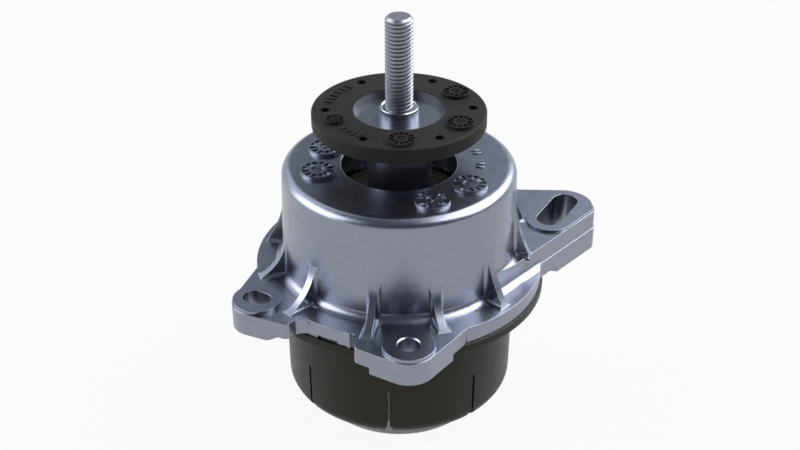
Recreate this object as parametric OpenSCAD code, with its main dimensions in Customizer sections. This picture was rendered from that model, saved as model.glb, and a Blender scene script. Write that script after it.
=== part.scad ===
// Fluid-filled engine mount with a cast housing, three bolting ears and a threaded stud.
// Millimetres, +Z up along the stud, origin on the stud's axis at the foot of the base pot.

/* [Stud] */
// Thread's outer diameter
stud_d = 12; // [8:0.5:14]
// Length of thread above the collar
stud_len = 40.7; // [20:0.1:70]
// Chamfer at the stud's tip
stud_chamfer = 1.3; // [0.5:0.1:2]
// Collar's diameter
collar_d = 16.8; // [15:0.1:20]
// Collar's height above the hub plate
collar_h = 5.3; // [4:0.1:10]
// Chamfer at the collar's rim
collar_chamfer = 0.7; // [0.3:0.1:1.5]
// Radius of the hollow flare at the collar's foot
collar_flare = 0.5; // [0.3:0.1:3]
// Depth of the stud's shank in the core
stud_grip = 26; // [15:0.5:30]

/* [Hub plate and stop ring] */
// Hub plate's diameter
plate_d = 68; // [56:0.5:72]
// Hub plate's thickness
plate_t = 2.1; // [1.5:0.1:3]
// Stop ring's outer diameter
ring_d = 75.1; // [74:0.1:90]
// Stop ring's height
ring_t = 6.8; // [6:0.1:10]
// Diameter of the stop ring's opening over the hub plate
ring_open_d = 40; // [30:0.5:46]
// Room between the core's neck and the opening in the ring's thin underside
ring_under_gap = 2; // [1:0.1:6]
// Rubber under the hub plate
ring_skin = 0.9; // [0.5:0.1:1.5]
// Rounding of the ring's outer edges
ring_edge = 0.9; // [0.3:0.1:1.2]
// Number of round holes in the ring
ring_hole_n = 6; // [3:1:8]
// Diameter of each round hole
ring_hole_d = 4; // [2:0.1:5]
// Pitch circle diameter of the round holes
ring_hole_pcd = 62.8; // [56:0.1:66]
// Angle of the first round hole
ring_hole_turn = 2; // [-30:1:30]

/* [Core] */
// Diameter of the core's neck
neck_d = 28; // [22:0.1:34]
// How far the rebound shoulder reaches out under the roof, past the opening
shoulder_catch = 3.75; // [2:0.05:8]
// Thickness of the rebound shoulder
shoulder_t = 4; // [3:0.5:6]
// Step from the shoulder's rim in to the top of the core's cone
cone_step = 4.5; // [2:0.5:8]
// Core's cone, diameter at the tip
cone_tip_d = 26; // [18:0.5:32]
// Height of the core's tip above the sleeve's seat
tip_rise = 8; // [5:0.5:12]
// Fillet between neck and shoulder
neck_fillet = 3; // [1:0.5:5]
// Height of the rubber rebound buffer
buffer_t = 4; // [2:0.5:5]

/* [Travel] */
// Gap from the stop ring to the housing's roof at rest
ring_gap = 19; // [12:0.5:26]
// Gap from the rebound buffer to the underside of the roof at rest
rebound_gap = 6; // [4:0.5:9]

/* [Housing] */
// Outer diameter of the housing just under the roof
body_d = 102.6; // [84:0.2:126]
// Height of the housing above its flange
body_h = 47.6; // [38:0.2:60]
// Draft angle of the outer wall
body_draft = 1.4; // [0.5:0.1:3]
// Thickness of the outer wall under the roof
body_wall = 5.3; // [3:0.1:8]
// Roof's thickness
roof_t = 10.5; // [6:0.5:12]
// Diameter of the opening in the roof
open_d = 50.5; // [42:0.1:61]
// Rounding of the roof's outer edge
roof_edge = 4; // [1:0.5:4]
// Rounding of the opening's upper edge
open_edge = 0.6; // [0.4:0.1:2]
// How far the flange stands out past the wall
flange_w = 13; // [12.5:0.1:18]
// Width of the machined seat under the flange, past the bore
seat_w = 11; // [9:0.1:12]
// Flange's thickness
flange_t = 7.4; // [6:0.2:10]
// Casting fillet where walls meet the flange
cast_fillet = 4; // [2:0.5:5]
// Drop of the ears' bolting pads below the flange
pad_drop = 3.2; // [1:0.1:4.2]
// Height of the round bosses above the flange
boss_h = 1.8; // [0.5:0.1:3]

/* [Left ear] */
// Distance of the slot's centre past the flange's edge
left_reach = 7.3; // [6:0.1:12]
// Direction of the slot's centre
left_angle = -148.3; // [-152:0.1:-145]
// Radius of the ear's tip
left_tip_r = 11; // [9:0.1:13]
// Width of the slot
left_slot_w = 9.1; // [7:0.1:11]
// End-to-end length of the slot
left_slot_len = 13.1; // [11:0.1:16]
// Direction of the slot's length
left_slot_turn = -30.7; // [-60:0.1:0]

/* [Front ear] */
// Distance of the hole's centre past the flange's edge
front_reach = 7; // [6:0.1:12]
// Direction of the hole's centre
front_angle = -86.8; // [-90:0.1:-84]
// Radius of the ear's tip
front_tip_r = 11.5; // [9:0.1:13]
// Diameter of the hole
front_hole_d = 9; // [7:0.1:11]

/* [Right ear] */
// Distance of the slot's centre past the flange's edge
right_reach = 12.7; // [10:0.1:16]
// Direction of the slot's centre
right_angle = 17.5; // [14:0.1:22]
// Radius of the ear's tip
right_tip_r = 13.3; // [12:0.1:15]
// Radius of the raised boss round the slot
right_boss_r = 10.6; // [9:0.1:11]
// Distance of the arm's front wall inside the flange's edge
right_wall_in = 11.6; // [10:0.1:13]
// Width of the slot
right_slot_w = 11.8; // [9:0.1:13]
// End-to-end length of the slot
right_slot_len = 30.4; // [24:0.1:32]
// Direction of the slot's length
right_slot_turn = 61.5; // [50:0.1:70]
// Height of the arm's top above the flange
arm_h = 8.8; // [6:0.1:14]
// Height of the boss above the arm
arm_boss_h = 1.2; // [0.5:0.1:2]
// How far the foot under the arm stands out past the arm's front wall
foot_lip = 0.4; // [0.3:0.1:2]

/* [Ribs] */
// Width of a rib's web
rib_w = 3.4; // [2:0.1:5]
// Casting fillet where a rib meets the wall and the flange
rib_fillet = 2; // [1:0.1:3]

/* [Dust cover] */
// Cover's height with its rim
cover_h = 56.3; // [46:0.1:70]
// Room between the cover and the pot inside it
cover_gap = 1.2; // [0.8:0.1:3]
// Taper of the cover's diameter down to its rounded edge
cover_taper = 1.2; // [0:0.1:3]
// Cover's wall
cover_wall = 2; // [1.5:0.1:2]
// Outer radius of the cover's rounded lower edge
cover_edge = 7.2; // [5:0.1:8]
// Thickness of the cover's rim round the pot's flange
rim_wall = 2; // [1.2:0.1:3]
// Height of the cover's rim
rim_h = 4.3; // [3.5:0.1:6]
// Number of slits round the cover
slit_n = 8; // [4:1:12]
// Direction of the first slit
slit_turn = -50.3; // [-60:0.1:60]
// Width of a slit
slit_w = 1.2; // [0.8:0.1:2]
// Height of a slit's upper end above the cover's foot
slit_top = 25.7; // [15:0.1:40]
// Width of the notch at a slit's foot
slit_foot_w = 3.4; // [2:0.1:6]
// Height of the notch at a slit's foot
slit_foot_h = 5.6; // [3:0.1:7]

/* [Base pot] */
// How far the pot stands out below the cover
pot_drop = 10.7; // [6:0.1:20]
// Step from the pot's side in to its foot
pot_foot_step = 10.4; // [8:0.1:16]
// Step from the seat's rim in to the pot's side
pot_step = 8; // [7:0.1:12]
// Pot's wall
pot_wall = 1.5; // [1:0.1:1.8]
// How far the pot's flange reaches out past the seat
pot_flange_w = 6; // [5.2:0.1:7]
// Thickness of the pot's flange
pot_flange_t = 2; // [1.5:0.1:2.2]
// Rounding of the pot's foot
pot_edge = 3; // [2:0.1:4]

/* [Spring and sleeve] */
// Sleeve's wall
sleeve_wall = 2.5; // [1.5:0.1:3.5]
// Room above the sleeve, under the roof
sleeve_room = 14.5; // [8:0.5:20]
// Thickness of the sleeve's flange and of the channel plate's flange
seat_t = 2; // [1.5:0.1:2.2]

/* [Fluid parts] */
// Thickness of the upper channel plate's disc
upper_t = 6.5; // [5:0.1:7]
// Thickness of the lower channel plate
lower_t = 7; // [6:0.1:8]
// Depth of the upper plate's top below the housing's flange
dish_depth = 7.5; // [7:0.1:9]
// Width of the fluid channel
channel_w = 8; // [5:0.5:9]
// Wall outside the fluid channel
channel_wall = 6.3; // [3:0.1:8]
// Depth of the fluid channel
channel_depth = 4.5; // [3:0.1:5]
// Length of the fluid channel in degrees
channel_sweep = 320; // [180:5:330]
// Wall between the decoupler's cage and the fluid channel
cage_wall = 6.8; // [4:0.1:10]
// Decoupler's thickness
decoupler_t = 3; // [2:0.1:3.2]
// Bellows' wall
bellows_wall = 2; // [1.5:0.1:2.4]
// Room between the bellows' fold and the pot's shoulder
fold_room = 6.3; // [3:0.1:10]
// Seal ring's diameter of section
seal_d = 2.4; // [2:0.1:2.6]

/* [Hidden] */
$fn = 96;

slip = 0.2;            // running gap round pieces that only guide each other
bond = 0.05;           // gap at the rubber's bond to the moving core
over = 1;              // how far a cutter runs past what it cuts
cross = 0.02;          // how far a fillet's circle crosses the walls that it joins
rib_lean = 8;          // angle at which a rib's edge leaves the wall

// Levels, from the foot of the pot to the stud's tip
z_cover = pot_drop;
z_flange = z_cover + cover_h;
z_flange_top = z_flange + flange_t;
z_roof = z_flange_top + body_h;
z_ceiling = z_roof - roof_t;
z_pad = z_flange - pad_drop;
z_boss = z_flange_top + boss_h;
z_arm = z_flange_top + arm_h;
z_ring = z_roof + ring_gap;
z_plate = z_ring + ring_skin;
z_plate_top = z_plate + plate_t;
z_ring_top = z_ring + ring_t;
z_collar = z_plate_top + collar_h;
z_stud = z_collar + stud_len;
z_buffer_top = z_ceiling - rebound_gap;
z_shoulder_top = z_buffer_top - buffer_t;
z_shoulder = z_shoulder_top - shoulder_t;
z_seat = z_flange + 2 * seat_t;
z_cone_tip = z_seat + tip_rise;
z_sleeve = z_ceiling - sleeve_room;
z_dish = z_flange - dish_depth;
z_split = z_dish - upper_t;
z_lower = z_split - lower_t;

// Radii, from the housing's wall outwards and inwards
stud_r = stud_d / 2;
neck_r = neck_d / 2;
body_r = body_d / 2;
bore_r = body_r - body_wall;
open_r = open_d / 2;
flange_r = body_r + flange_w;
seat_r = bore_r + seat_w;
pot_r = seat_r - pot_step;
cover_r = pot_r + cover_gap + cover_wall;
pot_flange_r = seat_r + pot_flange_w;
rim_r = pot_flange_r + slip + rim_wall;
pot_in_r = pot_r - pot_wall;
pot_foot_r = pot_r - pot_foot_step;
sleeve_in_r = bore_r - sleeve_wall;
shoulder_r = open_r + shoulder_catch;
cone_top_r = shoulder_r - cone_step;
foot_r = body_r + body_h * tan(body_draft);
barrel_r = pot_in_r - slip;
channel_r2 = barrel_r - channel_wall;
channel_r1 = channel_r2 - channel_w;
decoupler_r = channel_r1 - cage_wall - slip;

function polar(r, a) = [r * cos(a), r * sin(a)];
function wall_r(z) = body_r + (z_roof - z) * tan(body_draft);
// Direction in which both circles of a strap touch its straight side
function touch(c1, r1, c2, r2, side) =
    atan2(c2.y - c1.y, c2.x - c1.x) + side * acos((r1 - r2) / norm(c2 - c1));
// Radius of the arc that rises by h and spreads by w, upright at one end
function arc_r(w, h) = (w * w + h * h) / (2 * w);
// The same for an arc that leans by a at its upper end
function arc_r_leaning(w, h, a) = (w * w + h * h) / (2 * (w * cos(a) - h * sin(a)));

// Places of the ears
left_c = polar(flange_r + left_reach, left_angle);
front_c = polar(flange_r + front_reach, front_angle);
right_c = polar(flange_r + right_reach, right_angle);
left_half = (left_slot_len - left_slot_w) / 2;
right_half = (right_slot_len - right_slot_w) / 2;
right_far = right_c + polar(right_half, right_slot_turn);
right_near = right_c - polar(right_half, right_slot_turn);
left_corner = left_c + polar(19.7, -48.6);
left_corner_r = 2.6;
front_corner = front_c + polar(19.4, 175.7);
front_corner_r = 3;
left_anchor = polar(flange_r - 9, -132);
front_anchor = polar(flange_r - 14, -107);
left_line_r = flange_r - 7.6;      // how far the left ear's back edge passes from the axis
front_line_r = flange_r - 6.8;     // how far the front ear's right edge passes from the axis
right_wall_r = flange_r - right_wall_in;
right_tip = right_c + polar(right_half - 1.3, right_slot_turn);
right_corner = right_c + polar(13.9, 9.3);
right_corner_r = 4;
arm_front = -41.3;     // direction that the arm's front wall faces
arm_back = 88;         // direction that the arm's back wall faces

// Ribs on the flange and the arm: direction, level of the foot, level of the top, reach of the foot
// past the flange's edge
ribs = [
    [-13.5, z_arm, z_roof - 13, -4.8],
    [-42.8, z_flange_top, z_flange_top + 26, -2.3],
    [-72.8, z_flange_top, z_flange_top + 15.6, -0.3],
    [-101.7, z_flange_top, z_flange_top + 17.6, 3.2],
    [-135, z_flange_top, z_flange_top + 17.6, 3.2],
    [-163.4, z_flange_top, z_flange_top + 17.6, 0.2],
    [167.3, z_flange_top, z_flange_top + 28.6, -2.3],
    [137, z_flange_top, z_flange_top + 22, -2.3],
    [107, z_flange_top, z_flange_top + 17.6, -2.3],
    [77, z_flange_top, z_flange_top + 17.6, -2.3],
    [47, z_arm, z_roof - 13, -4.8],
    [17, z_arm, z_roof - 13, -4.8]];

// Round raised dials: distance in from the outer edge, direction, radius
ring_dials = [[8.6, 31.2, 6], [8.2, -29.8, 6], [7.9, -88.2, 5.9], [8.3, -156.7, 4.2]];
roof_dials = [[16.7, 160.2, 7.5], [15.3, -165.1, 7.5], [14.6, -35.6, 7.5], [13.8, -68.4, 7.5]];
ring_dial_h = 0.5;
roof_dial_h = 0.7;

// Reach of the bolting pads round their holes
left_pad_r = 14.7;
front_pad_r = 18;
right_pad_r = 20.9;

// Locating notch under the flange: direction, distance in from the flange's edge, width and depth
notch_turn = -118;
notch_in = 1.7;
notch_w = 9.6;
notch_h = 1.5;

// Chamfer at the front ear's hole
hole_chamfer = 0.6;

module disc(c, r) {
    translate(c) circle(r);
}

// Four-sided piece whose long sides run along two circles, a hair inside them
module sides(c1, r1, c2, r2) {
    a = touch(c1, r1, c2, r2, 1);
    b = touch(c1, r1, c2, r2, -1);
    polygon([c1 + polar(r1 - cross, a), c2 + polar(r2 - cross, a), c2 + polar(r2 - cross, b),
        c1 + polar(r1 - cross, b)]);
}

// The same with only one of the straight sides
module one_side(c1, r1, c2, r2, side) {
    a = touch(c1, r1, c2, r2, side);
    polygon([c1, c1 + polar(r1 - cross, a), c2 + polar(r2 - cross, a), c2]);
}

// Two circles joined by straight sides
module strap(c1, r1, c2, r2) {
    sides(c1, r1, c2, r2);
    disc(c1, r1);
    disc(c2, r2);
}

// A slot's outline
module slot(c, half, r, turn) {
    strap(c - polar(half, turn), r, c + polar(half, turn), r);
}

// Hollow corner of radius f where a straight wall, facing direction a at distance d, leaves a round
// flange of radius r; side picks the wall's end
module wall_corner(r, a, d, f, side) {
    reach = sqrt(pow(r + f, 2) - pow(d + f, 2));
    c = polar(d + f, a) + side * polar(reach, a + 90);
    difference() {
        polygon([c * r / (r + f), polar(d - 2, a) + side * polar(reach * 0.94, a + 90), c - polar(f, a), c]);
        translate(c) circle(f + cross);
    }
}

// Rectangle in a turned section, from r1 to r2 and z1 to z2
module block(r1, r2, z1, z2) {
    translate([r1, z1]) square([r2 - r1, z2 - z1]);
}

// The same with two rounded outer corners
module rounded_block(r1, r2, z1, z2, f) {
    block(r1, r2 - f, z1, z2);
    block(r1, r2, z1 + f, z2 - f);
    translate([r2 - f, z1 + f]) circle(f);
    translate([r2 - f, z2 - f]) circle(f);
}

module stud() {
    color("silver") rotate_extrude() {
        block(0, stud_r, z_plate_top - stud_grip, z_stud - stud_chamfer);
        polygon([[0, z_stud - stud_chamfer], [stud_r, z_stud - stud_chamfer],
            [stud_r - stud_chamfer, z_stud], [0, z_stud]]);
        polygon([[0, z_plate_top], [collar_d / 2, z_plate_top], [collar_d / 2, z_collar - collar_chamfer],
            [collar_d / 2 - collar_chamfer, z_collar], [0, z_collar]]);
        difference() {
            block(collar_d / 2 - over, collar_d / 2 + collar_flare, z_plate_top, z_plate_top + collar_flare);
            translate([collar_d / 2 + collar_flare, z_plate_top + collar_flare]) circle(collar_flare);
        }
    }
}

module hub_plate() {
    color("lightslategray") rotate_extrude() block(stud_r, plate_d / 2, z_plate, z_plate_top);
}

module stop_ring() {
    color("dimgray") difference() {
        union() {
            rotate_extrude() difference() {
                rounded_block(neck_r + ring_under_gap, ring_d / 2, z_ring, z_ring_top, ring_edge);
                block(0, plate_d / 2, z_plate, z_plate_top);
                block(0, ring_open_d / 2, z_plate, z_ring_top + over);
            }
            for (d = ring_dials) rotate(d.y) translate([ring_d / 2 - d.x, 0, z_ring_top - over])
                cylinder(h = ring_dial_h + over, r = d.z);
        }
        for (i = [0 : ring_hole_n - 1])
            rotate(ring_hole_turn + i * 360 / ring_hole_n)
                translate([ring_hole_pcd / 2, 0, z_plate_top])
                    cylinder(h = ring_t, d = ring_hole_d);
    }
}

module core() {
    color("darkgray") rotate_extrude() difference() {
        union() {
            block(0, neck_r, z_shoulder, z_plate);
            block(0, shoulder_r, z_shoulder, z_shoulder_top);
            polygon([[0, z_cone_tip], [cone_tip_d / 2, z_cone_tip], [cone_top_r, z_shoulder],
                [0, z_shoulder]]);
            difference() {
                block(neck_r - over, neck_r + neck_fillet, z_shoulder_top, z_shoulder_top + neck_fillet);
                translate([neck_r + neck_fillet, z_shoulder_top + neck_fillet]) circle(neck_fillet);
            }
        }
        block(-over, stud_r, z_plate_top - stud_grip, z_plate + over);
    }
}

module rebound_buffer() {
    color("black") rotate_extrude()
        rounded_block(neck_r + neck_fillet + slip, shoulder_r, z_shoulder_top, z_buffer_top, 1);
}

module main_spring() {
    spring_top = z_sleeve - 3;
    groove_r = (sleeve_in_r - shoulder_r) / 2 - 0.25;
    dome_r = tip_rise + 2.5;
    color("black") rotate_extrude() difference() {
        polygon([[0, z_cone_tip - 1.5], [cone_tip_d / 2, z_cone_tip - 1.5], [sleeve_in_r - 3, z_seat],
            [sleeve_in_r, z_seat], [sleeve_in_r, spring_top], [shoulder_r, z_shoulder - bond],
            [cone_top_r + bond, z_shoulder - bond], [cone_tip_d / 2 + bond, z_cone_tip - bond],
            [0, z_cone_tip - bond]]);
        translate([(sleeve_in_r + shoulder_r) / 2, z_shoulder + 1]) circle(groove_r);
        translate([(sleeve_in_r + cone_tip_d / 2) / 2 + 3, z_seat - 2]) circle(dome_r);
    }
}

module spring_sleeve() {
    color("gray") rotate_extrude() {
        block(sleeve_in_r, bore_r, z_seat - seat_t, z_sleeve);
        block(sleeve_in_r, seat_r - slip, z_seat - seat_t, z_seat);
    }
}

// Outline of the left ear
module left_outline() {
    anchor = left_anchor;
    disc(left_c, left_tip_r);
    disc(left_corner, left_corner_r);
    one_side(left_c, left_tip_r, [0, 0], left_line_r, 1);
    sides(left_c, left_tip_r, left_corner, left_corner_r);
    sides(left_corner, left_corner_r, anchor, left_corner_r);
    polygon([left_c, left_corner, anchor, [0, 0]]);
}

// Outline of the front ear
module front_outline() {
    anchor = front_anchor;
    disc(front_c, front_tip_r);
    disc(front_corner, front_corner_r);
    one_side(front_c, front_tip_r, [0, 0], front_line_r, -1);
    sides(front_c, front_tip_r, front_corner, front_corner_r);
    sides(front_corner, front_corner_r, anchor, front_corner_r);
    polygon([front_c, front_corner, anchor, [0, 0]]);
}

// Outline of the raised arm of the right ear
module arm_outline() {
    wall_anchor = polar(right_wall_r - right_corner_r, arm_front);
    back_anchor = polar(right_tip * [cos(arm_back), sin(arm_back)], arm_back);
    disc(right_tip, right_tip_r);
    disc(right_corner, right_corner_r);
    sides(right_corner, right_corner_r, wall_anchor, right_corner_r);
    sides(right_tip, right_tip_r, right_corner, right_corner_r);
    sides(right_tip, right_tip_r, back_anchor, right_tip_r);
    polygon([right_corner, right_tip, back_anchor, [0, 0], wall_anchor]);
}

// Outline of the boss round the long slot, drawn out into the arm's corner
module arm_boss_outline() {
    far = right_far - polar(0.6, right_slot_turn);
    r = right_corner_r - 0.5;
    strap(right_near, right_boss_r, far, right_boss_r);
    disc(right_corner, r);
    sides(right_near, right_boss_r, right_corner, r);
    sides(far, right_boss_r, right_corner, r);
    polygon([right_near, right_corner, far]);
}

// Outline of the foot under the arm
module foot_outline() {
    r = right_corner_r + foot_lip;
    wall_anchor = polar(right_wall_r - right_corner_r, arm_front);
    disc(right_tip, right_tip_r);
    disc(right_corner, r);
    sides(right_corner, r, wall_anchor, r);
    sides(right_tip, right_tip_r, right_corner, r);
    one_side(right_tip, right_tip_r, [0, 0], flange_r - over, -1);
    polygon([right_corner, right_tip, [0, 0], wall_anchor]);
    wall_corner(flange_r, arm_front, right_wall_r + foot_lip - cross, 6, 1);
}

// Outline of the whole flange with the left and front ears
module flange_outline() {
    left_side = touch(left_corner, left_corner_r, left_anchor, left_corner_r, -1);
    front_side = touch(front_corner, front_corner_r, front_anchor, front_corner_r, 1);
    circle(flange_r);
    left_outline();
    front_outline();
    wall_corner(flange_r, touch(front_c, front_tip_r, [0, 0], front_line_r, 1), front_line_r - cross, 9, 1);
    wall_corner(flange_r, front_side, front_anchor * polar(1, front_side) + front_corner_r - 2 * cross, 3, 1);
    wall_corner(flange_r, left_side, left_anchor * polar(1, left_side) + left_corner_r - 2 * cross, 4.5, -1);
}

// Bolting pad under an ear, clear of the cover's rim
module pad(c, reach) {
    translate([0, 0, z_pad]) linear_extrude(pad_drop + over) difference() {
        intersection() {
            children();
            translate(c) circle(reach);
        }
        circle(rim_r + 0.8);
    }
}

// Web of half width w with a fillet of radius f on both sides of its foot, which stands at level z
module web_section(w, z, f, top) {
    translate([-w, z - over]) square([2 * w, top - z + over]);
    difference() {
        translate([-w - f + cross, z - over]) square([2 * (w + f - cross), f + over - cross]);
        for (side = [-1, 1]) translate([side * (w + f), z + f]) circle(f + cross);
    }
}

// Fillets between the sides of a web and a round wall of radius r, seen from above
module root_section(w, r, f) {
    c = sqrt(pow(r + f, 2) - pow(w + f, 2));
    reach = (w + f) * r / (r + f) - cross;
    difference() {
        translate([r - 4, -reach]) square([c - r + 4 - cross, 2 * reach]);
        for (side = [-1, 1]) translate([c, side * (w + f)]) circle(f + cross);
    }
}

// One rib: a web with a hollow outer edge, and fillets to the wall and to the floor that it stands on
module rib(turn, z1, z2, reach) {
    root = wall_r(z2);
    rise = z2 - z1;
    edge_r = arc_r_leaning(reach - root, rise, rib_lean);
    sink = 4;
    rotate(turn) intersection() {
        rotate([90, 0, 0]) linear_extrude(rib_w + 2 * rib_fillet + 4, center = true) difference() {
            block(root - sink, reach + over, z1 - over, z2);
            translate([root + edge_r * cos(rib_lean), z2 + edge_r * sin(rib_lean)]) circle(edge_r);
        }
        union() {
            rotate([90, 0, 90]) linear_extrude(reach + 2 * over)
                web_section(rib_w / 2, z1, rib_fillet, z2 + over);
            translate([0, 0, z2]) rotate([0, -body_draft, 0]) translate([0, 0, -rise - 3])
                linear_extrude(rise + 6) root_section(rib_w / 2, root * cos(body_draft), rib_fillet);
        }
    }
}

// Hollow fillet of radius f between a wall at r and a floor at z, in a turned section
module hollow(r, z, f) {
    difference() {
        block(r - over, r + f - cross, z - over, z + f - cross);
        translate([r + f - cross, z + f - cross]) circle(f);
    }
}

// Turned section of the housing's outside
module outer_section() {
    edge_c = wall_r(z_roof - roof_edge) - roof_edge;
    polygon([[0, z_flange], [foot_r, z_flange], [foot_r, z_flange_top],
        [edge_c + roof_edge, z_roof - roof_edge], [edge_c, z_roof - roof_edge], [edge_c, z_roof],
        [0, z_roof]]);
    translate([edge_c, z_roof - roof_edge]) circle(roof_edge);
    hollow(wall_r(z_flange_top + cast_fillet), z_flange_top, cast_fillet);
}

// Turned section of all that is machined inside: seat, bore, opening and the seal's groove
module inner_section() {
    polygon([[0, z_flange - over], [seat_r, z_flange - over], [seat_r, z_seat], [bore_r, z_seat],
        [bore_r, z_ceiling], [open_r, z_ceiling], [open_r, z_roof + over], [0, z_roof + over]]);
    block(seat_r + 1.5, seat_r + 1.5 + seal_d + 0.6, z_flange - over, z_flange + seal_d);
    difference() {
        block(open_r - over, open_r + open_edge - cross, z_roof - open_edge, z_roof + over);
        translate([open_r + open_edge - cross, z_roof - open_edge]) circle(open_edge);
    }
}

// Fillets along the arm: on the flange in front of it, and on the wall above it
module arm_fillets() {
    reach = right_corner * [-sin(arm_front), cos(arm_front)];
    intersection() {
        rotate(arm_front) translate([0, reach, 0]) rotate([90, 0, 0]) linear_extrude(reach)
            hollow(right_wall_r - cross, z_flange_top, cast_fillet);
        linear_extrude(z_roof) circle(flange_r - 0.3);
    }
    intersection() {
        rotate_extrude() hollow(wall_r(z_arm + cast_fillet), z_arm, cast_fillet);
        linear_extrude(z_roof) arm_outline();
    }
}

module housing() {
    color("lightsteelblue") difference() {
        union() {
            rotate_extrude() outer_section();
            translate([0, 0, z_flange]) linear_extrude(flange_t) flange_outline();
            pad(left_c, left_pad_r) left_outline();
            pad(front_c + [1.4, 0], front_pad_r) front_outline();
            for (c = [[left_c, left_tip_r], [front_c, front_tip_r]])
                translate([c[0].x, c[0].y, z_flange_top - over]) cylinder(h = boss_h + over, r = c[1] - 0.4);
            translate([0, 0, z_flange]) linear_extrude(flange_t) foot_outline();
            pad(right_c, right_pad_r) foot_outline();
            translate([0, 0, z_flange_top - over]) linear_extrude(arm_h + over) arm_outline();
            translate([0, 0, z_arm - over]) linear_extrude(arm_boss_h + over) arm_boss_outline();
            arm_fillets();
            for (r = ribs) rib(r[0], r[1], r[2], flange_r + r[3]);
            for (d = roof_dials) rotate(d.y) translate([body_r - d.x, 0, z_roof - over])
                cylinder(h = roof_dial_h + over, r = d.z);
        }
        rotate_extrude() inner_section();
        // Holes through the ears
        translate([0, 0, z_pad - over]) linear_extrude(z_boss - z_pad + 2 * over)
            slot(left_c, left_half, left_slot_w / 2, left_slot_turn);
        translate([front_c.x, front_c.y, z_pad - over])
            cylinder(h = z_boss - z_pad + 2 * over, d = front_hole_d);
        translate([front_c.x, front_c.y, z_boss - hole_chamfer]) cylinder(h = hole_chamfer + 0.1,
            r1 = front_hole_d / 2, r2 = front_hole_d / 2 + hole_chamfer + 0.1);
        translate([0, 0, z_pad - over]) linear_extrude(z_arm + arm_boss_h - z_pad + 2 * over)
            slot(right_c, right_half, right_slot_w / 2, right_slot_turn);
        rotate(notch_turn) translate([flange_r - notch_in, -notch_w / 2, z_flange - over])
            cube([20, notch_w, notch_h + over]);
    }
}

module seal_ring() {
    color("black") rotate_extrude()
        translate([seat_r + 1.8 + seal_d / 2, z_flange + seal_d / 2]) circle(seal_d / 2);
}

// Holes that let the fluid press on the decoupler
module grille(z1, h) {
    hole_r = 2.3;
    translate([0, 0, z1 - over]) {
        cylinder(h = h + 2 * over, r = hole_r);
        for (row = [[6, 8.5], [12, 17]], i = [0 : row[0] - 1])
            rotate(i * 360 / row[0]) translate([row[1], 0, 0]) cylinder(h = h + 2 * over, r = hole_r);
    }
}

// Radius of the ports into the fluid channel
port_r = 2.5;

module upper_channel_plate() {
    dish_wall = 2.5;
    cage = (decoupler_t + 2 * slip) / 2;
    middle = (channel_r1 + channel_r2) / 2;
    color("silver") difference() {
        rotate_extrude() {
            block(0, barrel_r, z_split, z_dish);
            block(barrel_r - dish_wall, barrel_r, z_split, z_flange + seat_t);
            block(barrel_r - dish_wall, seat_r - slip, z_flange, z_flange + seat_t);
        }
        rotate([0, 0, 10]) rotate_extrude(angle = channel_sweep)
            block(channel_r1, channel_r2, z_split - over, z_split + channel_depth);
        rotate(16) translate([middle, 0, z_split]) cylinder(h = upper_t + over, r = port_r);
        translate([0, 0, z_split - over]) cylinder(h = cage + over, r = decoupler_r + slip);
        grille(z_split, upper_t);
    }
}

module decoupler() {
    color("black") translate([0, 0, z_split - decoupler_t / 2])
        rotate_extrude() rounded_block(0, decoupler_r, 0, decoupler_t, 0.8);
}

module lower_channel_plate() {
    cage = (decoupler_t + 2 * slip) / 2;
    middle = (channel_r1 + channel_r2) / 2;
    color("silver") difference() {
        translate([0, 0, z_lower]) cylinder(h = lower_t, r = barrel_r);
        translate([0, 0, z_split - cage]) cylinder(h = cage + over, r = decoupler_r + slip);
        rotate(channel_sweep + 4) translate([middle, 0, z_lower - over])
            cylinder(h = lower_t + 2 * over, r = port_r);
        grille(z_lower, lower_t);
    }
}

// Bead of the bellows: its radius and height
bead_r = barrel_r;
bead_h = 3.5;
ring_wall = 2;

module bellows_ring() {
    color("gray") rotate_extrude() {
        block(bead_r - 4, bead_r, z_lower - bead_h - ring_wall, z_lower - bead_h);
    }
}

module bellows() {
    fold_r = 8;
    leg_r = bead_r - 4 - slip;
    fold_c = leg_r - fold_r;
    z_fold = z_cover + cover_wall + pot_wall + fold_room + fold_r;
    crown_h = 6;
    color("black") rotate_extrude() {
        block(leg_r - bellows_wall, bead_r, z_lower - bead_h, z_lower);
        block(leg_r - bellows_wall, leg_r, z_fold, z_lower);
        intersection() {
            difference() {
                translate([fold_c, z_fold]) circle(fold_r);
                translate([fold_c, z_fold]) circle(fold_r - bellows_wall);
            }
            block(0, leg_r, z_fold - fold_r, z_fold);
        }
        block(fold_c - fold_r, fold_c - fold_r + bellows_wall, z_fold, z_fold + crown_h);
        block(0, fold_c - fold_r + bellows_wall, z_fold + crown_h - bellows_wall, z_fold + crown_h);
    }
}

module base_pot() {
    lip = z_cover + cover_wall;
    bend = cover_edge - cover_wall;
    color("darkgray") rotate_extrude() {
        difference() {
            union() {
                block(0, pot_foot_r, pot_edge, lip + pot_wall);
                block(0, pot_foot_r - pot_edge, 0, lip);
                translate([pot_foot_r - pot_edge, pot_edge]) circle(pot_edge);
                block(0, pot_r - bend, lip, z_flange);
                block(0, pot_r, lip + bend, z_flange);
                translate([pot_r - bend, lip + bend]) circle(bend);
            }
            block(-over, pot_foot_r - pot_wall, pot_edge, lip + bend);
            block(-over, pot_foot_r - pot_edge, pot_wall, lip);
            translate([pot_foot_r - pot_edge, pot_edge]) circle(pot_edge - pot_wall);
            block(-over, pot_r - bend, lip + pot_wall, z_flange + over);
            block(-over, pot_in_r, lip + bend, z_flange + over);
            translate([pot_r - bend, lip + bend]) circle(bend - pot_wall);
            translate([-2 * over, 0]) square([2 * over, z_flange]);
        }
        block(pot_in_r, pot_flange_r, z_flange - pot_flange_t, z_flange);
    }
}

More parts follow.
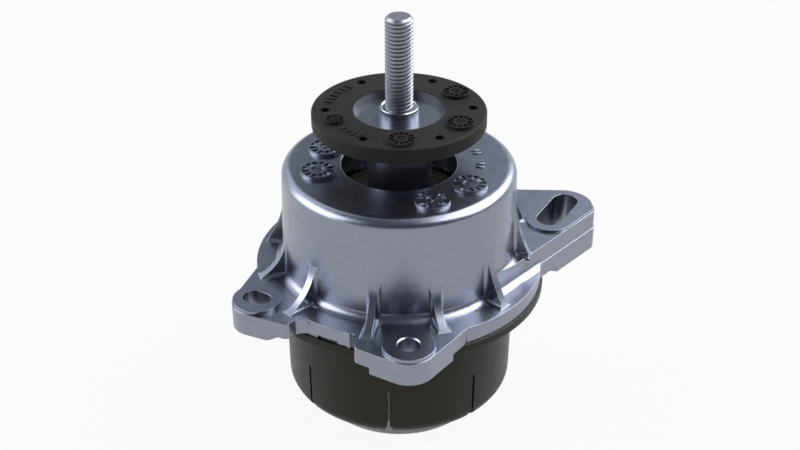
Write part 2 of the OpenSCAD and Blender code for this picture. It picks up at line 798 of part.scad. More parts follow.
module dust_cover() {
    low_r = cover_r - cover_taper / 2;
    bend = cover_edge;
    pocket = pot_flange_r + slip;
    color("dimgray") difference() {
        rotate_extrude() difference() {
            union() {
                polygon([[0, z_cover + bend], [low_r, z_cover + bend], [cover_r, z_flange - rim_h],
                    [0, z_flange - rim_h]]);
                block(0, low_r - bend, z_cover, z_cover + bend);
                translate([low_r - bend, z_cover + bend]) circle(bend);
                rounded_block(0, rim_r, z_flange - rim_h, z_flange, 0.6);
            }
            block(-over, pot_foot_r + slip, z_cover - over, z_flange);
            block(-over, low_r - bend, z_cover + cover_wall, z_flange);
            translate([low_r - bend, z_cover + bend]) circle(bend - cover_wall);
            block(-over, low_r - cover_wall, z_cover + bend, z_flange + over);
            block(-over, pocket, z_flange - pot_flange_t, z_flange + over);
        }
        for (i = [0 : slit_n - 1]) rotate(slit_turn + i * 360 / slit_n) {
            translate([pot_foot_r, -slit_w / 2, z_cover - over])
                cube([cover_r, slit_w, slit_top + over]);
            translate([pot_foot_r, -slit_foot_w / 2, z_cover - over])
                cube([cover_r, slit_foot_w, slit_foot_h + over]);
        }
    }
}

stud();
hub_plate();
stop_ring();
core();
rebound_buffer();
main_spring();
spring_sleeve();
housing();
seal_ring();
upper_channel_plate();
decoupler();
lower_channel_plate();
bellows_ring();
bellows();
base_pot();
dust_cover();
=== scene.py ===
from math import cos, pi, radians, sin, tan

import bpy
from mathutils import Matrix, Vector


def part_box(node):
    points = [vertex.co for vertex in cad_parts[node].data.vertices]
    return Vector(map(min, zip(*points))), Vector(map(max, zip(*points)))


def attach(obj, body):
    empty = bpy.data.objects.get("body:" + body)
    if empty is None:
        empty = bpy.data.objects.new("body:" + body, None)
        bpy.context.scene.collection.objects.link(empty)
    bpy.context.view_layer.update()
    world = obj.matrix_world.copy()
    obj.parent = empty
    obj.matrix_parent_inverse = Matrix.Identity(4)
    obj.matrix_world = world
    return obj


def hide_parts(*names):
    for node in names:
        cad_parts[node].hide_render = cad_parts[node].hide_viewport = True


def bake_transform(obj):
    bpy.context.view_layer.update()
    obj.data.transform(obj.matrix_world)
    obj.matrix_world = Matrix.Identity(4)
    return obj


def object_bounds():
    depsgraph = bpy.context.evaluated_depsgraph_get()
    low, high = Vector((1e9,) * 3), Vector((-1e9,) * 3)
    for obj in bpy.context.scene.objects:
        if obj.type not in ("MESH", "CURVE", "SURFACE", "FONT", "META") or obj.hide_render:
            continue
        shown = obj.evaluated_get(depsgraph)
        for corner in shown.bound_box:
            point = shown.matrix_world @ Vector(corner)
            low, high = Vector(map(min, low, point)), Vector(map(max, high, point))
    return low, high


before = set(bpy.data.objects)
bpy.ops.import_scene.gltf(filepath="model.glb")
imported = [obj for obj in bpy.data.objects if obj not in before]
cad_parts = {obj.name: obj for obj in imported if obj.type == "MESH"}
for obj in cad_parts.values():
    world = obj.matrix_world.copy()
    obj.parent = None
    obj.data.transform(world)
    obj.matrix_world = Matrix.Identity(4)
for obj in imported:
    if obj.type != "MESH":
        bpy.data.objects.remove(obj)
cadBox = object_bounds()
mm = 0.001

# CAD nodes whose size or place the new pieces follow
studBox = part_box("stud")
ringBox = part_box("stop_ring")
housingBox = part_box("housing")
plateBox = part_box("hub_plate")

mergeGap = 0.001 * mm      # points closer than this become one
roundSteps = 96            # steps round a turned shape
turnedAngle = 32           # edges sharper than this stay sharp on turned pieces
upwardLeast = 0.9          # a face looks up where its normal's z is more than this


# Small helpers for working by hand in code

def deselectAll():
    bpy.ops.object.select_all(action="DESELECT")


def pick(obj):
    deselectAll()
    obj.select_set(True)
    bpy.context.view_layer.objects.active = obj


def editAll(obj):
    # enters edit mode with every vertex selected
    pick(obj)
    bpy.ops.object.mode_set(mode="EDIT")
    bpy.ops.mesh.select_mode(type="VERT")
    bpy.ops.mesh.select_all(action="SELECT")


def editFaces(obj, wanted):
    # enters edit mode with the wanted faces selected
    pick(obj)
    bpy.ops.object.mode_set(mode="EDIT")
    bpy.ops.mesh.select_mode(type="FACE")
    bpy.ops.mesh.select_all(action="DESELECT")
    bpy.ops.object.mode_set(mode="OBJECT")
    for f in obj.data.polygons:
        f.select = wanted(f)
    bpy.ops.object.mode_set(mode="EDIT")


def leaveEdit():
    bpy.ops.object.mode_set(mode="OBJECT")


def facesUp(f):
    return f.normal.z > upwardLeast


def extrudeZ(distance):
    # extrudes what is selected straight up, or down where distance is negative
    bpy.ops.mesh.extrude_region_move(TRANSFORM_OT_translate={"value": (0, 0, distance)})


def applyModifier(obj, kind, **settings):
    pick(obj)
    mod = obj.modifiers.new(kind.lower(), kind)
    for key, value in settings.items():
        setattr(mod, key, value)
    bpy.ops.object.modifier_apply(modifier=mod.name)


def settle(obj):
    # leaves the object at the origin with its place in its mesh
    pick(obj)
    bpy.ops.object.transform_apply(location=True, rotation=True, scale=True)


def cleanShell(obj):
    # merges doubles and turns every face outwards
    editAll(obj)
    bpy.ops.mesh.remove_doubles(threshold=mergeGap)
    bpy.ops.mesh.normals_make_consistent(inside=False)
    leaveEdit()


def copyMesh(obj, name):
    twin = obj.copy()
    twin.data = obj.data.copy()
    twin.name = twin.data.name = name
    bpy.context.scene.collection.objects.link(twin)
    return twin


def copyNode(node, name):
    # a merged copy of a CAD node's mesh, free of the frame
    twin = copyMesh(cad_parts[node], name)
    twin.parent = None
    for key in list(twin.keys()):
        if key.startswith("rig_"):
            del twin[key]
    cleanShell(twin)
    return twin


def smooth(obj, angle):
    pick(obj)
    bpy.ops.object.shade_smooth_by_angle(angle=radians(angle))


def joinAll(objs, name):
    deselectAll()
    for obj in objs:
        obj.select_set(True)
    bpy.context.view_layer.objects.active = objs[0]
    bpy.ops.object.join()
    objs[0].name = objs[0].data.name = name
    return objs[0]


def traceProfile(name, points):
    # a chain of edges in the XZ plane, drawn from point to point out of one merged point
    x, z = points[0]
    deselectAll()
    bpy.ops.mesh.primitive_plane_add(size=mm, location=(0, 0, 0))
    obj = bpy.context.object
    obj.name = obj.data.name = name
    editAll(obj)
    bpy.ops.mesh.merge(type="COLLAPSE")
    bpy.ops.transform.translate(value=(x, 0, z))
    for nextX, nextZ in points[1:]:
        bpy.ops.mesh.extrude_region_move(
            TRANSFORM_OT_translate={"value": (nextX - x, 0, nextZ - z)})
        x, z = nextX, nextZ
    leaveEdit()
    return obj


def windProfile(obj, turns, rise):
    # winds a profile round the Z axis, rising a little with each turn
    applyModifier(
        obj, "SCREW", axis="Z", angle=2 * pi, screw_offset=rise, iterations=turns,
        steps=roundSteps, render_steps=roundSteps,
        use_merge_vertices=True, merge_threshold=mergeGap)


def turnProfile(name, points):
    # a closed turned shape, as from a lathe
    obj = traceProfile(name, points)
    windProfile(obj, 1, 0)
    cleanShell(obj)
    return obj


def at(radius, degrees, z):
    return Vector((radius * cos(radians(degrees)), radius * sin(radians(degrees)), z))


# Shared effects as node groups

grain = {
    "fineDetail": 2.5,
    "fineRoughness": 0.62,
    "wideDetail": 3.0,
    "wideScale": 0.16,     # of the fine noise's scale
}
ringDetail = 2.0           # of the turning marks


def newGroup(name, inputs, outputs):
    group = bpy.data.node_groups.new(name, "ShaderNodeTree")
    for label, kind, value in inputs:
        socket = group.interface.new_socket(name=label, in_out="INPUT", socket_type=kind)
        socket.default_value = value
    for label, kind in outputs:
        group.interface.new_socket(name=label, in_out="OUTPUT", socket_type=kind)
    source = group.nodes.new("NodeGroupInput")
    result = group.nodes.new("NodeGroupOutput")
    return group, source, result


def addNode(tree, kind, **settings):
    node = tree.nodes.new(kind)
    for key, value in settings.items():
        setattr(node, key, value)
    return node


def setInputs(node, values):
    for label, value in values.items():
        node.inputs[label].default_value = value


def calculate(tree, operation, *values, **settings):
    # the result of a Math node that is given sockets or plain numbers
    node = addNode(tree, "ShaderNodeMath", operation=operation, **settings)
    for socket, value in zip(node.inputs, values):
        if isinstance(value, bpy.types.NodeSocket):
            tree.links.new(value, socket)
        else:
            socket.default_value = value
    return node.outputs[0]


def makeCastGrain():
    # height and tone of a sand-like cast skin, from fine and coarse noise
    group, source, result = newGroup(
        "castGrain",
        [("Scale", "NodeSocketFloat", 1200.0), ("Coarse", "NodeSocketFloat", 0.35)],
        [("Height", "NodeSocketFloat"), ("Tone", "NodeSocketFloat")])
    link = group.links.new
    place = addNode(group, "ShaderNodeTexCoord").outputs["Object"]
    fine = addNode(group, "ShaderNodeTexNoise")
    setInputs(fine, {"Detail": grain["fineDetail"], "Roughness": grain["fineRoughness"]})
    link(place, fine.inputs["Vector"])
    link(source.outputs["Scale"], fine.inputs["Scale"])
    wide = addNode(group, "ShaderNodeTexNoise")
    setInputs(wide, {"Detail": grain["wideDetail"]})
    link(place, wide.inputs["Vector"])
    wideScale = calculate(group, "MULTIPLY", source.outputs["Scale"], grain["wideScale"])
    link(wideScale, wide.inputs["Scale"])
    mixed = addNode(group, "ShaderNodeMix", data_type="FLOAT")
    link(source.outputs["Coarse"], mixed.inputs[0])
    link(fine.outputs[0], mixed.inputs[2])     # A of a float mix
    link(wide.outputs[0], mixed.inputs[3])     # B of a float mix
    link(mixed.outputs[0], result.inputs["Height"])
    link(wide.outputs[0], result.inputs["Tone"])
    return group


def makeTurningMarks():
    # fine rings round the Z axis, as a lathe leaves them
    group, source, result = newGroup(
        "turningMarks",
        [("Rings", "NodeSocketFloat", 2500.0)],
        [("Height", "NodeSocketFloat"), ("Tone", "NodeSocketFloat")])
    link = group.links.new
    place = addNode(group, "ShaderNodeTexCoord")
    split = addNode(group, "ShaderNodeSeparateXYZ")
    link(place.outputs["Object"], split.inputs[0])
    flat = addNode(group, "ShaderNodeCombineXYZ")
    link(split.outputs["X"], flat.inputs["X"])
    link(split.outputs["Y"], flat.inputs["Y"])
    radius = addNode(group, "ShaderNodeVectorMath", operation="LENGTH")
    link(flat.outputs[0], radius.inputs[0])
    along = calculate(group, "ADD", radius.outputs["Value"], split.outputs["Z"])
    line = addNode(group, "ShaderNodeCombineXYZ")
    link(along, line.inputs["X"])
    noise = addNode(group, "ShaderNodeTexNoise")
    setInputs(noise, {"Detail": ringDetail})
    link(line.outputs[0], noise.inputs["Vector"])
    link(source.outputs["Rings"], noise.inputs["Scale"])
    link(noise.outputs[0], result.inputs["Height"])
    link(noise.outputs[0], result.inputs["Tone"])
    return group


castGrain = makeCastGrain()
turningMarks = makeTurningMarks()
print("node groups ready")


# Materials

toneSpread = (0.3, 0.7)    # the part of a tone's range that colour and roughness follow
bevelSamples = 6


def spreadTone(tree, skin, low, high):
    # carries the skin's tone over to the range from low to high
    ramp = addNode(tree, "ShaderNodeMapRange")
    setInputs(ramp, {
        "From Min": toneSpread[0], "From Max": toneSpread[1], "To Min": low, "To Max": high})
    tree.links.new(skin.outputs["Tone"], ramp.inputs["Value"])
    return ramp.outputs[0]


def finish(name, effect, effectInputs, tones, roughness, metallic, bump,
           rounding=0.0, specular=0.5, warmth=(1.0, 1.0, 1.0)):
    # one Principled finish: tones and roughness follow the effect's tone, its height gives the bump
    mat = bpy.data.materials.new(name)
    mat.use_nodes = True
    tree = mat.node_tree
    link = tree.links.new
    shader = tree.nodes["Principled BSDF"]
    setInputs(shader, {
        "Metallic": metallic, "Specular IOR Level": specular, "Specular Tint": (*warmth, 1)})
    skin = addNode(tree, "ShaderNodeGroup", node_tree=effect)
    setInputs(skin, effectInputs)
    tint = addNode(tree, "ShaderNodeMix", data_type="RGBA")
    tint.inputs[6].default_value = (*tones[0], 1)      # A of a colour mix
    tint.inputs[7].default_value = (*tones[1], 1)      # B of a colour mix
    link(spreadTone(tree, skin, 0.0, 1.0), tint.inputs[0])
    link(tint.outputs[2], shader.inputs["Base Color"])
    link(spreadTone(tree, skin, *roughness), shader.inputs["Roughness"])
    relief = addNode(tree, "ShaderNodeBump")
    setInputs(relief, {"Strength": 1.0, "Distance": bump})
    link(skin.outputs["Height"], relief.inputs["Height"])
    if rounding:
        soft = addNode(tree, "ShaderNodeBevel", samples=bevelSamples)
        setInputs(soft, {"Radius": rounding})
        link(soft.outputs[0], relief.inputs["Normal"])
    link(relief.outputs[0], shader.inputs["Normal"])
    return mat


def paint(obj, mat):
    obj.data.materials.clear()
    obj.data.materials.append(mat)


castTones = [(0.25, 0.266, 0.315), (0.266, 0.283, 0.335)]
rubberTones = [(0.0092, 0.0089, 0.0074), (0.0115, 0.0111, 0.0093)]
steelGrain = {"Scale": 2500.0, "Coarse": 0.5}
rubberGrain = {"Scale": 2200.0, "Coarse": 0.4}

castAluminium = finish(
    "castAluminium", castGrain, {"Scale": 1400.0, "Coarse": 0.0}, tones=castTones,
    roughness=(0.27, 0.31), metallic=1.0, bump=0.032 * mm, rounding=0.4 * mm)
dialAluminium = finish(
    "dialAluminium", castGrain, {"Scale": 1700.0, "Coarse": 0.12}, tones=castTones,
    roughness=(0.3, 0.34), metallic=1.0, bump=0.006 * mm)
machinedAluminium = finish(
    "machinedAluminium", turningMarks, {"Rings": 3000.0},
    tones=[(0.36, 0.37, 0.4), (0.42, 0.43, 0.46)],
    roughness=(0.25, 0.34), metallic=1.0, bump=0.01 * mm)
studSteel = finish(
    "studSteel", castGrain, steelGrain, tones=[(0.29, 0.3, 0.335), (0.31, 0.32, 0.355)],
    roughness=(0.37, 0.41), metallic=1.0, bump=0.002 * mm)
collarSteel = finish(
    "collarSteel", castGrain, steelGrain, tones=[(0.3, 0.315, 0.37), (0.31, 0.325, 0.38)],
    roughness=(0.25, 0.27), metallic=1.0, bump=0.0005 * mm)
plateSteel = finish(
    "plateSteel", castGrain, steelGrain, tones=[(0.29, 0.315, 0.355), (0.3, 0.325, 0.365)],
    roughness=(0.26, 0.28), metallic=1.0, bump=0.0005 * mm)
liningSteel = finish(
    "liningSteel", castGrain, steelGrain, tones=[(0.07, 0.071, 0.076), (0.076, 0.077, 0.083)],
    roughness=(0.34, 0.38), metallic=1.0, bump=0.0005 * mm)
coreSteel = finish(
    "coreSteel", castGrain, {"Scale": 1500.0, "Coarse": 0.4},
    tones=[(0.24, 0.26, 0.32), (0.26, 0.28, 0.34)],
    roughness=(0.3, 0.33), metallic=1.0, bump=0.001 * mm, rounding=0.4 * mm)
ringRubber = finish(
    "ringRubber", castGrain, rubberGrain, tones=rubberTones,
    roughness=(0.5, 0.6), metallic=0.0, bump=0.008 * mm, rounding=0.3 * mm, specular=0.14)
dialRubber = finish(
    "dialRubber", castGrain, rubberGrain, tones=rubberTones,
    roughness=(0.5, 0.6), metallic=0.0, bump=0.008 * mm, specular=0.14)
springRubber = finish(
    "springRubber", castGrain, {"Scale": 1200.0, "Coarse": 0.5},
    tones=[(0.1, 0.095, 0.078), (0.12, 0.114, 0.095)],
    roughness=(0.45, 0.55), metallic=0.0, bump=0.008 * mm)
coverPlastic = finish(
    "coverPlastic", castGrain, {"Scale": 2000.0, "Coarse": 0.4},
    tones=[(0.0098, 0.0092, 0.0074), (0.0125, 0.0117, 0.0095)],
    roughness=(0.36, 0.46), metallic=0.0, bump=0.01 * mm, rounding=0.3 * mm,
    specular=0.21, warmth=(1.0, 0.94, 0.8))
potPaint = finish(
    "potPaint", castGrain, {"Scale": 1800.0, "Coarse": 0.5},
    tones=[(0.3, 0.296, 0.28), (0.35, 0.345, 0.326)],
    roughness=(0.35, 0.45), metallic=0.1, bump=0.008 * mm)

nodeFinish = {
    "housing": castAluminium,
    "hub_plate": plateSteel,
    "stop_ring": ringRubber,
    "core": coreSteel,
    "rebound_buffer": springRubber,
    "spring_sleeve": plateSteel,
    "seal_ring": springRubber,
    "upper_channel_plate": machinedAluminium,
    "decoupler": springRubber,
    "lower_channel_plate": machinedAluminium,
    "bellows_ring": plateSteel,
    "bellows": springRubber,
    "base_pot": potPaint,
    "dust_cover": coverPlastic,
}
for nodeName, mat in nodeFinish.items():
    paint(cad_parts[nodeName], mat)
print("CAD nodes painted")


# The stud: a turned shank and collar, and a thread cut to the shank's size

stud = {
    "radius": 6.0 * mm,
    "tip": 1.3 * mm,           # chamfer at the tip
    "collarRadius": 8.4 * mm,
    "collarHeight": 5.3 * mm,
    "collarEdge": 0.35 * mm,
    "land": 0.3 * mm,          # flat rim on the collar, round a shallow dish
    "dish": 0.5 * mm,
    "dishRadius": 7.1 * mm,
    "pitch": 1.75 * mm,
    "depth": 0.95 * mm,
    "rootFlat": 0.22,          # shares of the pitch
    "crestFlat": 0.2,
    "crestSpare": 0.05 * mm,   # what the shank's size cuts off the ridge again
    "threadSink": 0.1 * mm,    # how deep the thread starts in the collar
    "blankSink": 1.0 * mm,     # how far below that the shank's size starts
    "turnsBelow": 2,           # turns wound beyond the thread's ends, which are cut off again
    "turnsAbove": 3,
    "collarSpare": 0.1 * mm,   # the collar's finish starts this far outside the shank
}


def makeThread(bottom, top):
    # a ridge wound up the shank, cut off square at both ends
    pitch = stud["pitch"]
    root = stud["radius"] - stud["depth"]
    crest = stud["radius"] + stud["crestSpare"]
    rootHalf = stud["rootFlat"] * pitch / 2
    crestHalf = stud["crestFlat"] * pitch / 2
    start = bottom - stud["turnsBelow"] * pitch
    middle = start + pitch / 2
    end = start + pitch
    ridge = traceProfile("threadProfile", [
        (root, start), (root, start + rootHalf), (crest, middle - crestHalf),
        (crest, middle + crestHalf), (root, end - rootHalf), (root, end)])
    windProfile(ridge, int((top - start) / pitch) + stud["turnsAbove"], pitch)
    for height, below in [(bottom, True), (top + pitch, False)]:
        editAll(ridge)
        bpy.ops.mesh.bisect(
            plane_co=(0, 0, height), plane_no=(0, 0, 1), use_fill=True,
            clear_inner=below, clear_outer=not below)
        leaveEdit()
    cleanShell(ridge)
    return ridge


def makeStud():
    radius = stud["radius"]
    foot = studBox[0].z
    tip = studBox[1].z
    seat = plateBox[1].z
    top = seat + stud["collarHeight"]
    dish = top - stud["dish"]
    rim = stud["collarRadius"] - stud["collarEdge"]
    piece = turnProfile("stud_threaded", [
        (0, foot), (radius, foot), (radius, seat), (stud["collarRadius"], seat),
        (stud["collarRadius"], top - stud["collarEdge"]), (rim, top), (rim - stud["land"], top),
        (stud["dishRadius"], dish), (0, dish)])
    threadFoot = dish - stud["threadSink"]
    blankFoot = threadFoot - stud["blankSink"]
    blank = turnProfile("shankBlank", [
        (0, blankFoot), (radius, blankFoot), (radius, tip - stud["tip"]),
        (radius - stud["tip"], tip), (0, tip)])
    ridge = makeThread(threadFoot, tip)
    applyModifier(ridge, "BOOLEAN", operation="INTERSECT", solver="EXACT", object=blank)
    applyModifier(piece, "BOOLEAN", operation="UNION", solver="EXACT", object=ridge)
    bpy.data.objects.remove(blank)
    bpy.data.objects.remove(ridge)
    cleanShell(piece)
    smooth(piece, turnedAngle)

    def isCollar(f):
        return f.center.z < threadFoot or f.center.xy.length > radius + stud["collarSpare"]

    paint(piece, studSteel)
    piece.data.materials.append(collarSteel)
    editFaces(piece, isCollar)
    piece.active_material_index = 1
    bpy.ops.object.material_slot_assign()
    leaveEdit()
    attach(piece, "core")
    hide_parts("stud")


makeStud()
print("stud threaded")


# The plate's thin turned-up wall, which lines the ring's opening

lining = {
    "radius": 20.0 * mm,       # the ring's opening
    "thickness": 0.35 * mm,
    "drop": 0.65 * mm,         # from the ring's highest point to the wall's edge
    "seat": 0.02 * mm,         # how far the wall sinks into the plate
}


def makeLining():
    outer = lining["radius"]
    inner = outer - lining["thickness"]
    low = plateBox[1].z - lining["seat"]
    high = ringBox[1].z - lining["drop"]
    wall = turnProfile("plate_lining", [
        (inner, low), (outer, low), (outer, high), (inner, high), (inner, low)])
    smooth(wall, turnedAngle)
    paint(wall, liningSteel)
    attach(wall, "core")


makeLining()
print("opening lined")


# The rubber spring, which gives between the sleeve and the core

def makeSpring():
    spring = copyNode("main_spring", "spring_bonded")
    paint(spring, springRubber)
    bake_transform(spring)
    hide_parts("main_spring")


makeSpring()
print("spring bonded")


# Date dials: a round cap with wedge pockets round its rim and a hand in a sunk middle

dial = {
    "cap": 0.8 * mm,
    "seat": 0.05 * mm,         # how far a cap sinks into the face that carries it
    "rim": 0.4 * mm,
    "pocket": 0.62 * mm,
    "pocketLength": 0.42,      # shares of the cap's radius
    "middle": 0.38,
    "sunk": 0.4 * mm,
    "segments": 48,
    "pocketEvery": 4,          # segments from one pocket to the next
    "pocketWidth": 3,          # segments in a pocket
    "handLength": 1.1,         # shares of the middle's radius
    "handWidth": 0.26,
    "pointRadius": 0.55,
    "pointPlace": 0.5,
}
# distance from the axis in mm, direction in degrees, radius in mm and turn in degrees
ringDials = [
    (28.9, 31.2, 5.9, 20),
    (29.4, -29.8, 5.9, 75),
    (29.7, -88.2, 5.8, 140),
    (29.3, -156.7, 4.1, 10),
]
roofDials = [
    (34.6, 160.2, 7.4, 30),
    (36.0, -165.1, 7.4, 95),
    (36.7, -35.6, 7.4, 200),
    (37.5, -68.4, 7.4, 65),
]


def makeHand(middle, base):
    # a raised hand: a bar that ends in a wide point
    deselectAll()
    bpy.ops.mesh.primitive_plane_add(size=1, location=(0, 0, base))
    hand = bpy.context.object
    editAll(hand)
    bpy.ops.transform.resize(value=(middle * dial["handLength"], middle * dial["handWidth"], 1))
    leaveEdit()
    settle(hand)
    deselectAll()
    bpy.ops.mesh.primitive_circle_add(
        vertices=3, radius=middle * dial["pointRadius"], fill_type="NGON", location=(0, 0, base))
    point = bpy.context.object
    point.rotation_euler.z = -pi / 2
    point.location.x = middle * dial["pointPlace"]
    settle(point)
    for part in (hand, point):
        editAll(part)
        extrudeZ(dial["sunk"])
        bpy.ops.mesh.select_all(action="SELECT")
        bpy.ops.mesh.normals_make_consistent(inside=False)
        leaveEdit()
    return joinAll([hand, point], "hand")


def makeDial(name, radius):
    # one dial at the origin, its hand along X
    count = dial["segments"]
    top = dial["cap"]
    seat = dial["seat"]
    middle = dial["middle"] * radius
    pocketLength = dial["pocketLength"] * radius
    outer = radius - dial["rim"]
    inner = outer - pocketLength
    deselectAll()
    bpy.ops.mesh.primitive_cylinder_add(
        vertices=count, radius=radius, depth=top + seat, location=(0, 0, (top - seat) / 2))
    cap = bpy.context.object
    settle(cap)
    editFaces(cap, facesUp)
    bpy.ops.mesh.inset(thickness=dial["rim"])
    bpy.ops.mesh.inset(thickness=pocketLength)
    leaveEdit()

    def isPocket(f):
        place = f.center.xy
        sector = int((place.angle_signed(Vector((1, 0)), 0) / (2 * pi) + 1) * count)
        inPocket = sector % dial["pocketEvery"] < dial["pocketWidth"]
        return facesUp(f) and inner < place.length < outer and inPocket

    def isMiddle(f):
        return facesUp(f) and f.center.xy.length < inner

    editFaces(cap, isPocket)
    extrudeZ(-dial["pocket"])
    leaveEdit()
    editFaces(cap, isMiddle)
    bpy.ops.mesh.inset(thickness=inner - middle)
    extrudeZ(-dial["sunk"])
    leaveEdit()
    return joinAll([cap, makeHand(middle, top - dial["sunk"] - seat)], name)


def placeDials(dials, z, body, mat, kind):
    for i, (away, direction, radius, turn) in enumerate(dials):
        obj = makeDial(f"{kind}_dial_{i + 1}", radius * mm)
        obj.rotation_euler.z = radians(turn)
        obj.location = at(away * mm, direction, z)
        settle(obj)
        paint(obj, mat)
        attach(obj, body)


placeDials(ringDials, ringBox[1].z, "core", dialRubber, "ring")
placeDials(roofDials, housingBox[1].z, "frame", dialAluminium, "roof")
print("dials placed")


# Plain raised bars on the ring and on the roof

bar = {
    "width": 1.5 * mm,
    "height": 0.5 * mm,
    "edge": 0.12 * mm,
    "edgeSteps": 2,
    "seat": 0.05 * mm,         # how far a bar sinks into the face that carries it
    "smoothAngle": 40,
    "ringDrop": 0.5 * mm,      # from a node's highest point to the face that carries the bars
    "roofDrop": 0.7 * mm,
}
# rows of bars: distance from the axis in mm, first direction and step in degrees, length in mm
# and how many
ringRows = [(31.0, 168, -6.4, 3.8, 6), (29.5, -141, 6, 3.2, 4)]
roofRows = [(35.2, 18.0, -4.8, 3.6, 2), (35.2, -2.6, -4.8, 3.6, 2)]


def makeBars(name, rows, z, body, mat):
    deselectAll()
    bpy.ops.mesh.primitive_cube_add(size=1)
    model = bpy.context.object
    made = []
    for away, first, step, length, count in rows:
        for i in range(count):
            direction = first + step * i
            obj = copyMesh(model, "bar")
            obj.scale = (length * mm, bar["width"], bar["height"] + bar["seat"])
            obj.rotation_euler.z = radians(direction)
            obj.location = at(away * mm, direction, z + (bar["height"] - bar["seat"]) / 2)
            settle(obj)
            editAll(obj)
            bpy.ops.mesh.bevel(offset=bar["edge"], segments=bar["edgeSteps"], affect="EDGES")
            leaveEdit()
            made.append(obj)
    bpy.data.objects.remove(model)
    piece = joinAll(made, name)
    smooth(piece, bar["smoothAngle"])
    paint(piece, mat)
    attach(piece, body)


ringFace = ringBox[1].z - bar["ringDrop"]
roofFace = housingBox[1].z - bar["roofDrop"]
makeBars("ring_bars", ringRows, ringFace, "core", dialRubber)
makeBars("roof_bars", roofRows, roofFace, "frame", dialAluminium)
print("bars placed")


# Floor, camera and light

view = {
    "elevation": 31.12,
    "distance": 601.1 * mm,
    "aim": (0.38 * mm, 0, 90 * mm),
    "lens": 60.4,              # in mm, as the sensor
    "sensor": 36.0,
    "near": 0.01,
    "far": 50.0,
}
ground = {
    "size": 8.0,
    "colour": 0.6,
    "shown": 0.962,            # what the camera and the metal see where nothing shades it
    "share": 0.97,             # how much of that is even white
}
# soft boxes round the object: direction from the front towards the right, elevation, half width and
# half height in degrees, colour
boxes = {
    "left": (-86, 20, 28, 28, (4.1, 4.2, 4.4)),
    "right": (110, 44, 36, 26, (5.0, 5.05, 5.2)),
    "rightFront": (64, 48, 15, 14, (1.3, 1.3, 1.35)),
    "backLeft": (-138, 38, 20, 20, (1.3, 1.34, 1.44)),
    "backRight": (152, 38, 16, 16, (0.7, 0.72, 0.8)),
    "backHigh": (180, 64, 20, 10, (0.4, 0.42, 0.48)),
    "back": (180, 34, 22, 12, (0.12, 0.13, 0.16)),
    "lowLeft": (-150, 4, 30, 8, (0.9, 0.92, 0.95)),
    "lowRight": (145, 4, 32, 8, (0.9, 0.92, 0.95)),
}
boxEdge = 0.16             # width of a soft box's fading edge, as a tangent
aheadLeast = 0.001         # keeps what lies behind a box out of its mask
ambient = (0.11, 0.122, 0.15)


def grey(value):
    return (value, value, value, 1)


def makeSoftBox():
    # brightness of one soft box for the direction that the world is asked for
    group, source, result = newGroup(
        "softBox",
        [("Facing", "NodeSocketVector", (0, 1, 0)), ("Across", "NodeSocketVector", (1, 0, 0)),
         ("Upward", "NodeSocketVector", (0, 0, 1)), ("Width", "NodeSocketFloat", 0.5),
         ("Height", "NodeSocketFloat", 0.5), ("Edge", "NodeSocketFloat", 0.1)],
        [("Mask", "NodeSocketFloat")])
    link = group.links.new
    place = addNode(group, "ShaderNodeTexCoord")
    along = []
    for label in ("Facing", "Across", "Upward"):
        dot = addNode(group, "ShaderNodeVectorMath", operation="DOT_PRODUCT")
        link(place.outputs["Generated"], dot.inputs[0])
        link(source.outputs[label], dot.inputs[1])
        along.append(dot.outputs["Value"])
    ahead = calculate(group, "MAXIMUM", along[0], aheadLeast)
    blur = source.outputs["Edge"]
    masks = []
    for offset, label in ((along[1], "Width"), (along[2], "Height")):
        size = source.outputs[label]
        aside = calculate(group, "ABSOLUTE", calculate(group, "DIVIDE", offset, ahead))
        edge = addNode(group, "ShaderNodeMapRange", interpolation_type="SMOOTHSTEP")
        setInputs(edge, {"To Min": 1.0, "To Max": 0.0})
        link(aside, edge.inputs["Value"])
        link(calculate(group, "SUBTRACT", size, blur), edge.inputs["From Min"])
        link(calculate(group, "ADD", size, blur), edge.inputs["From Max"])
        masks.append(edge.outputs[0])
    link(calculate(group, "MULTIPLY", *masks), result.inputs["Mask"])
    return group


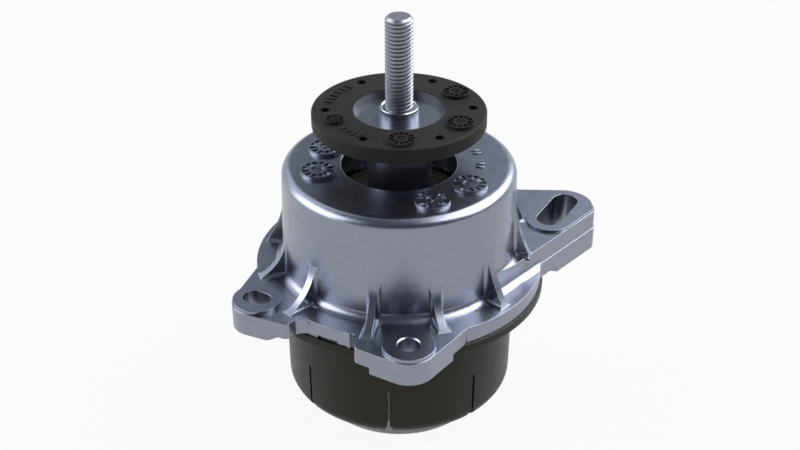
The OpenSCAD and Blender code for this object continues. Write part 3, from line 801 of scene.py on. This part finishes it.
def makeWorld():
    softBox = makeSoftBox()
    world = bpy.data.worlds.new("studio")
    bpy.context.scene.world = world
    world.use_nodes = True
    tree = world.node_tree
    link = tree.links.new
    start = addNode(tree, "ShaderNodeCombineXYZ")
    for socket, value in zip(start.inputs, ambient):
        socket.default_value = value
    light = start.outputs[0]
    for side, rise, halfWidth, halfHeight, colour in boxes.values():
        bearing = radians(side)
        height = radians(rise)
        facing = Vector((sin(bearing) * cos(height), -cos(bearing) * cos(height), sin(height)))
        across = Vector((cos(bearing), sin(bearing), 0))
        box = addNode(tree, "ShaderNodeGroup", node_tree=softBox)
        setInputs(box, {
            "Facing": facing, "Across": across, "Upward": facing.cross(across),
            "Width": tan(radians(halfWidth)), "Height": tan(radians(halfHeight)), "Edge": boxEdge})
        added = addNode(tree, "ShaderNodeVectorMath", operation="MULTIPLY_ADD")
        added.inputs[1].default_value = colour
        link(box.outputs["Mask"], added.inputs[0])
        link(light, added.inputs[2])
        light = added.outputs[0]
    studio = tree.nodes["Background"]
    setInputs(studio, {"Strength": 1.0})
    link(light, studio.inputs["Color"])
    # beyond the floor's edge the camera sees the floor's white
    plain = addNode(tree, "ShaderNodeBackground")
    setInputs(plain, {"Color": grey(ground["shown"])})
    rays = addNode(tree, "ShaderNodeLightPath")
    mix = addNode(tree, "ShaderNodeMixShader")
    link(rays.outputs["Is Camera Ray"], mix.inputs[0])
    link(studio.outputs[0], mix.inputs[1])
    link(plain.outputs[0], mix.inputs[2])
    link(mix.outputs[0], tree.nodes["World Output"].inputs["Surface"])


def makeFloor():
    # pale floor: the camera and the metal see it as an even white that keeps a soft shadow
    deselectAll()
    bpy.ops.mesh.primitive_plane_add(size=ground["size"], location=(0, 0, cadBox[0].z))
    floor = bpy.context.object
    floor.name = "floor"
    mat = bpy.data.materials.new("floorWhite")
    mat.use_nodes = True
    tree = mat.node_tree
    tree.nodes.clear()
    link = tree.links.new
    plain = addNode(tree, "ShaderNodeBsdfDiffuse")
    setInputs(plain, {"Color": grey(ground["colour"])})
    even = addNode(tree, "ShaderNodeEmission")
    setInputs(even, {"Color": grey(ground["shown"])})
    rays = addNode(tree, "ShaderNodeLightPath").outputs
    seen = calculate(tree, "ADD", rays["Is Camera Ray"], rays["Is Glossy Ray"])
    seen = calculate(tree, "ADD", seen, rays["Is Transmission Ray"], use_clamp=True)
    mix = addNode(tree, "ShaderNodeMixShader")
    link(calculate(tree, "MULTIPLY", seen, ground["share"]), mix.inputs[0])
    link(plain.outputs[0], mix.inputs[1])
    link(even.outputs[0], mix.inputs[2])
    out = addNode(tree, "ShaderNodeOutputMaterial")
    link(mix.outputs[0], out.inputs["Surface"])
    paint(floor, mat)


def makeCamera():
    up = radians(view["elevation"])
    data = bpy.data.cameras.new("camera")
    data.lens = view["lens"]
    data.sensor_width = view["sensor"]
    data.clip_start = view["near"]
    data.clip_end = view["far"]
    camera = bpy.data.objects.new("camera", data)
    bpy.context.scene.collection.objects.link(camera)
    camera.location = Vector(view["aim"]) + view["distance"] * Vector((0, -cos(up), sin(up)))
    camera.rotation_euler = (pi / 2 - up, 0, 0)
    bpy.context.scene.camera = camera


makeWorld()
makeFloor()
makeCamera()
bpy.context.scene.view_settings.view_transform = "Standard"
print("studio ready")
